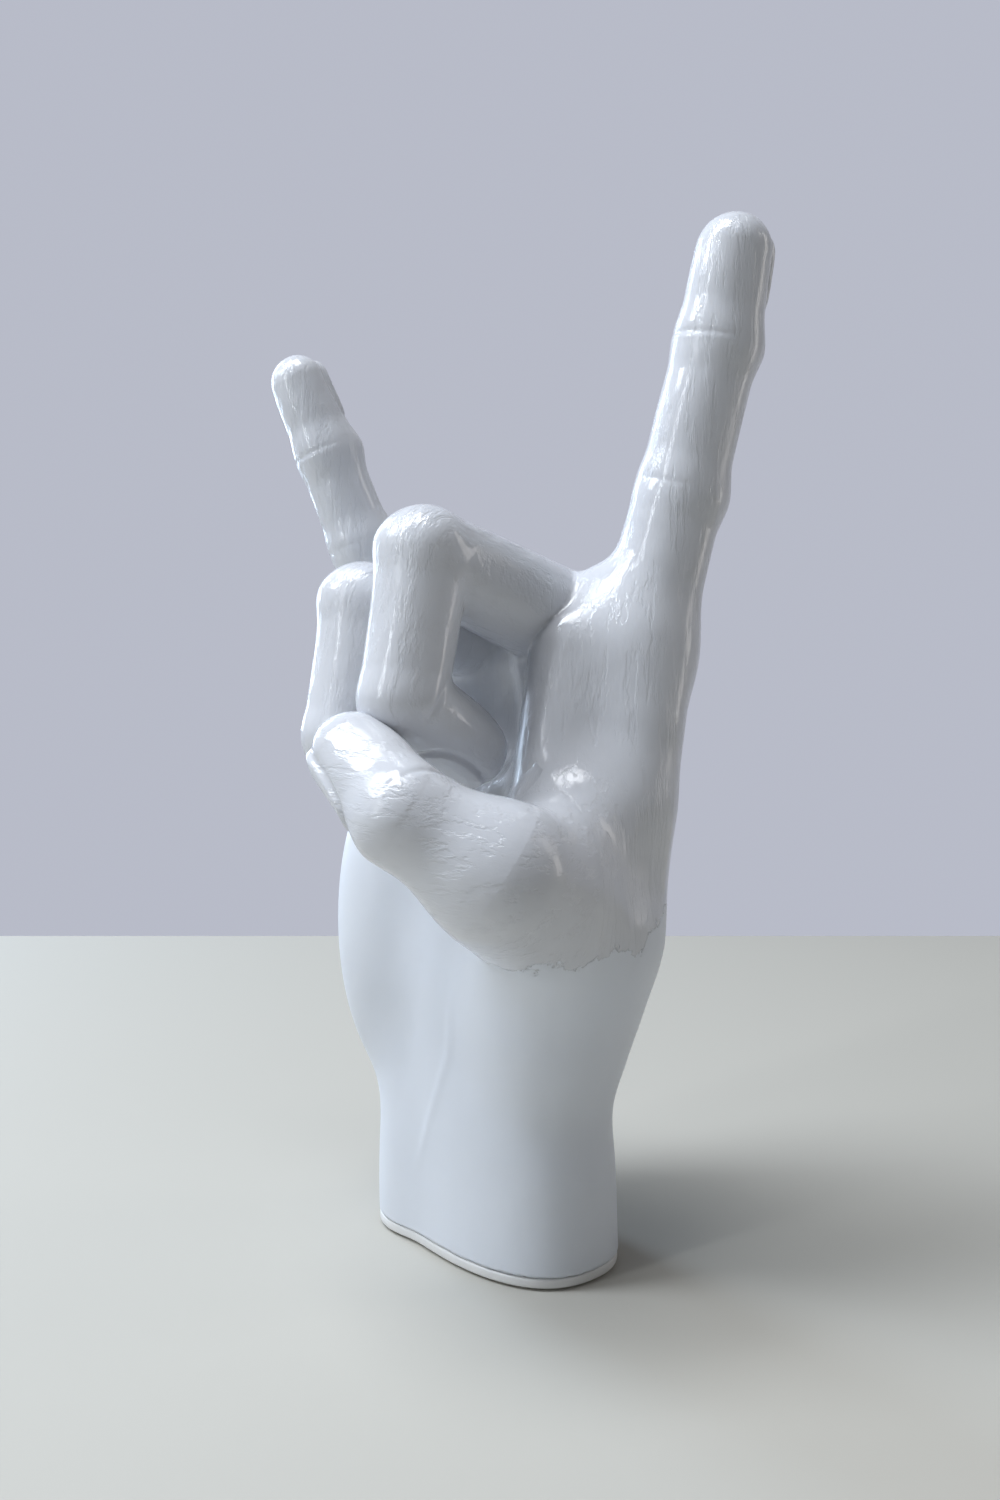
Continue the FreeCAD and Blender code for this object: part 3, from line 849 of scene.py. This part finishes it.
def raise_marks(owner, mesh):
    """Move a mesh's points out by the marks, into metres, and return the skin's normal at each."""
    points = np.zeros(len(mesh.vertices) * 3)
    mesh.vertices.foreach_get("co", points)
    points = points.reshape(-1, 3)
    slope = slope_of(lambda p: hand_form(p, owner), points)
    normal = slope / np.linalg.norm(slope, axis=1, keepdims=True)
    rise = slope_of(lambda p: mark_height(owner, p), points)
    rise -= (rise * normal).sum(1)[:, None] * normal
    points += normal * mark_height(owner, points)[:, None]
    mesh.vertices.foreach_set("co", (points * mm).ravel())
    mesh.update()
    normal = normal - rise
    return normal / np.linalg.norm(normal, axis=1, keepdims=True)


def hand_piece(owner, low, high, step, splits, finish):
    """Return a finished piece of the hand: netted, cut, marked and smooth shaded, with flat seats."""
    points, quads = sculpt(owner, low, high, step, splits)
    mesh, caps = cut_at_seats(owner, points, quads, step / 2 ** splits)
    normal = raise_marks(owner, mesh)
    corners = np.zeros(len(mesh.loops), np.int64)
    mesh.loops.foreach_get("vertex_index", corners)
    corner_normals = normal[corners]
    for face in list(mesh.polygons)[len(mesh.polygons) - caps:]:
        corner_normals[face.loop_start:face.loop_start + face.loop_total] = np.array(face.normal)
    mesh.shade_smooth()
    mesh.normals_split_custom_set(corner_normals.tolist())
    mesh.materials.append(finish)
    return added(owner + "_glazed", mesh)


def digit_box(name, margin):
    """Return a box round a digit, in millimetres."""
    joints = np.array(digits[name]["joints"], float)
    reach = max(digits[name]["radii"]) + margin
    return joints.min(0) - reach, joints.max(0) + reach


# Foot plate


def foot_outline(inset):
    """Return points round the casting's foot, a little way inside its skin, in millimetres."""
    angles = np.linspace(0, 2 * math.pi, outline_points, endpoint=False)
    rays = np.stack([np.cos(angles), np.sin(angles), np.zeros(len(angles))], 1)
    centre = (0, 0, casting_foot + outline_rise)
    near = np.zeros(len(angles))
    far = np.full(len(angles), outline_reach)
    for _ in range(outline_rounds):
        middle = (near + far) / 2
        inside = hand_form(rays * middle[:, None] + centre, "hand_body") < -inset
        near = np.where(inside, middle, near)
        far = np.where(inside, far, middle)
    return rays * near[:, None]


def outline_curve(points, height):
    """Return a closed curve object through points in millimetres, laid flat at a height."""
    outline = bpy.data.curves.new("foot_outline", "CURVE")
    outline.dimensions = "3D"
    spline = outline.splines.new("POLY")
    spline.points.add(len(points) - 1)
    for place, (x, y, _) in zip(spline.points, points):
        place.co = (x * mm, y * mm, height * mm, 1)
    spline.use_cyclic_u = True
    return added("foot_outline", outline)


def foot_plate_tree():
    """Build the tree of the foot plate: a band with round edges along an outline, and a floor inside it."""
    tree = bpy.data.node_groups.new("foot_plate", "GeometryNodeTree")
    sockets = {}
    for name, kind in (
        ("Outline", "Geometry"), ("Thickness", "Float"), ("Band Width", "Float"), ("Edge Round", "Float"),
        ("Floor Level", "Float"), ("Floor Thickness", "Float"), ("Finish", "Material"),
    ):
        made = tree.interface.new_socket(name=name, in_out="INPUT", socket_type="NodeSocket" + kind)
        sockets[name] = made.identifier
    tree.interface.new_socket(name="Plate", in_out="OUTPUT", socket_type="NodeSocketGeometry")
    given = tree.nodes.new("NodeGroupInput").outputs
    add = node_adder(tree)

    def join(*parts):
        node = tree.nodes.new("GeometryNodeJoinGeometry")
        for part in parts:
            tree.links.new(part.outputs[0], node.inputs[0])
        return node.outputs[0]

    section = add("GeometryNodeCurvePrimitiveQuadrilateral", {
        "Width": given["Band Width"], "Height": given["Thickness"],
    })
    rounded = add("GeometryNodeFilletCurve", {
        "Curve": section.outputs[0], "Radius": given["Edge Round"], "Count": plate_edge_points,
    }, mode="POLY")
    band = add("GeometryNodeCurveToMesh", {"Curve": given["Outline"], "Profile Curve": rounded.outputs[0]})
    half = add("ShaderNodeMath", {0: given["Thickness"], 1: 0.5}, operation="MULTIPLY")
    rise = add("ShaderNodeMath", {0: half.outputs[0], 1: given["Floor Level"]}, operation="SUBTRACT")
    up = add("ShaderNodeCombineXYZ", {"Z": rise.outputs[0]})
    band = add("GeometryNodeTransform", {"Geometry": band.outputs[0], "Translation": up.outputs[0]})
    sheet = add("GeometryNodeFillCurve", {"Curve": given["Outline"]}, mode="NGONS").outputs[0]
    under = add("GeometryNodeFlipFaces", {"Mesh": sheet})
    raised = add("GeometryNodeExtrudeMesh", {
        "Mesh": sheet, "Offset Scale": given["Floor Thickness"],
    }, mode="FACES")
    inner = add("GeometryNodeMergeByDistance", {"Geometry": join(under, raised), "Distance": plate_weld})
    real = add("GeometryNodeRealizeInstances", {"Geometry": join(band, inner)})
    done = add("GeometryNodeSetMaterial", {"Geometry": real.outputs[0], "Material": given["Finish"]})
    result = tree.nodes.new("NodeGroupOutput")
    tree.links.new(done.outputs[0], result.inputs["Plate"])
    return tree, sockets


def foot_plate(finish):
    """Return the plate that closes the wrist, flush with the casting above a fine joint line."""
    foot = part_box("foot_plate")[0].z / mm
    path = outline_curve(foot_outline(plate_band_width / 2 + plate_inset), foot + plate_floor_level)
    tree, sockets = foot_plate_tree()
    maker = path.modifiers.new("foot_plate", "NODES")
    maker.node_group = tree
    maker[sockets["Thickness"]] = (casting_foot - foot - plate_joint) * mm
    maker[sockets["Band Width"]] = plate_band_width * mm
    maker[sockets["Edge Round"]] = plate_edge_round * mm
    maker[sockets["Floor Level"]] = plate_floor_level * mm
    maker[sockets["Floor Thickness"]] = plate_floor_thickness * mm
    maker[sockets["Finish"]] = finish
    mesh = bpy.data.meshes.new_from_object(path.evaluated_get(bpy.context.evaluated_depsgraph_get()))
    bpy.data.objects.remove(path)
    mesh.shade_smooth()
    mesh.set_sharp_from_angle(angle=math.radians(plate_sharp_angle))
    return added("foot_plate_band", mesh)


# Assembly

upright_glaze = white_glaze("white_glaze", strokes=(1.0, 1.0, 0.16), torn_share=0.0)
thumb_glaze = white_glaze("white_glaze_thumb", strokes=(0.2, 0.6, 1.0), torn_share=0.0)
curled_glaze = white_glaze("white_glaze_curled", strokes=(1.0, 0.25, 0.25), torn_share=1.0)
glazes = {"thumb": thumb_glaze, "middle_finger": curled_glaze, "ring_finger": curled_glaze}

# Fineness of the netted skins, in millimetres, and the boxes that they are netted in
casting_step = 1.28
casting_splits = 1
digit_step = 1.4
digit_splits = 2
digit_margin = 4.0
foot_margin = 3
casting_low = (-50.0, -34.0, casting_foot - foot_margin)
casting_high = (56.0, 34.0, 168.0)

pieces = {
    "hand_body": hand_piece(
        "hand_body", casting_low, casting_high, casting_step, casting_splits, upright_glaze
    ),
}
for digit_name in digits:
    box_low, box_high = digit_box(digit_name, digit_margin)
    digit_glaze = glazes.get(digit_name, upright_glaze)
    pieces[digit_name] = hand_piece(digit_name, box_low, box_high, digit_step, digit_splits, digit_glaze)
for node, piece in pieces.items():
    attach(piece, "root")
    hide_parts(node)

plate = foot_plate(satin_plate())
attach(plate, "root")
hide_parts("foot_plate")

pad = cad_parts["foot_pad"]
pad.data.materials.clear()
pad.data.materials.append(dark_felt())

# Camera, in metres, and the photograph's frame
camera_height = 0.129
camera_distance = 0.280
camera_turn = math.radians(45)
camera_pitch = math.radians(4.4)
focal_pixels = 1300
image_height = 1500
sensor_width = 36.0

# The floor, in metres from the hand's axis along the camera's view, and to each side
floor_front = -1.6
floor_back = 0.30
floor_side = 2.4

# Lamps: place, what each faces, width and height, power and colour
lamps = {
    "window": ((-0.44, -0.54, 0.98), (0, 0, 0.12), (0.3, 0.8), 11.0, (0.83, 0.905, 1.0)),
    "top": ((-0.06, -0.20, 1.25), (0, 0, 0.12), (0.6, 0.35), 7.0, (0.93, 0.96, 1.0)),
    "side": ((-1.0, 0.10, 0.44), (0, 0, 0.12), (0.22, 0.7), 4.6, (0.62, 0.79, 1.0)),
    "front": ((-0.17, -0.95, 0.46), (0, 0, 0.12), (0.07, 0.8), 1.9, (0.90, 0.95, 1.0)),
    "rim": ((0.62, 0.85, 0.40), (0, 0, 0.1), (0.25, 0.9), 1.3, (1.0, 0.95, 0.9)),
}
room_colour = (0.62, 0.66, 0.72, 1)
room_strength = 0.15
backdrop_colour = (0.48, 0.50, 0.58, 1)


def floor():
    """Return a plain pale floor that ends behind the hand."""
    away = Vector((-math.sin(camera_turn), math.cos(camera_turn), 0))
    across = Vector((away.y, -away.x, 0))
    corners = (
        (floor_front, -floor_side), (floor_front, floor_side),
        (floor_back, floor_side), (floor_back, -floor_side),
    )
    mesh = bpy.data.meshes.new("floor")
    mesh.from_pydata([away * out + across * side for out, side in corners], [], [(0, 1, 2, 3)])
    mesh.materials.append(floor_paint())
    return added("floor", mesh)


def lamp(name, place, target, size, power, colour):
    """Add a soft rectangular lamp that faces a target."""
    data = bpy.data.lights.new(name, "AREA")
    data.shape = "RECTANGLE"
    data.size, data.size_y = size
    data.energy = power
    data.color = colour
    made = added(name, data)
    made.location = place
    made.rotation_euler = (Vector(target) - Vector(place)).to_track_quat("-Z", "Y").to_euler()


def studio_world():
    """Return a dim even world that the camera and the reflections see as a plain pale backdrop."""
    world = bpy.data.worlds.new("studio")
    world.use_nodes = True
    tree = world.node_tree
    add = node_adder(tree)
    room = tree.nodes["Background"]
    room.inputs["Color"].default_value = room_colour
    room.inputs["Strength"].default_value = room_strength
    backdrop = add("ShaderNodeBackground", {"Color": backdrop_colour})
    ray = add("ShaderNodeLightPath").outputs
    seen = ray["Is Camera Ray"]
    for kind in ("Is Glossy Ray", "Is Transmission Ray"):
        seen = add("ShaderNodeMath", {0: seen, 1: ray[kind]}, operation="MAXIMUM").outputs[0]
    both = add("ShaderNodeMixShader", {0: seen, 1: room.outputs[0], 2: backdrop.outputs[0]})
    tree.links.new(both.outputs[0], tree.nodes["World Output"].inputs["Surface"])
    return world


def photo_camera():
    """Return the camera: turned from the palm towards the thumb side, and tipped a little down."""
    data = bpy.data.cameras.new("camera")
    data.sensor_fit = "AUTO"
    data.sensor_width = sensor_width
    data.lens = focal_pixels / image_height * sensor_width
    made = added("camera", data)
    made.location = (
        camera_distance * math.sin(camera_turn), -camera_distance * math.cos(camera_turn), camera_height
    )
    made.rotation_euler = (math.radians(90) - camera_pitch, 0, camera_turn)
    return made


floor()
for lamp_name, lamp_values in lamps.items():
    lamp(lamp_name, *lamp_values)
bpy.context.scene.world = studio_world()
bpy.context.scene.view_settings.view_transform = "Standard"
bpy.context.scene.camera = photo_camera()
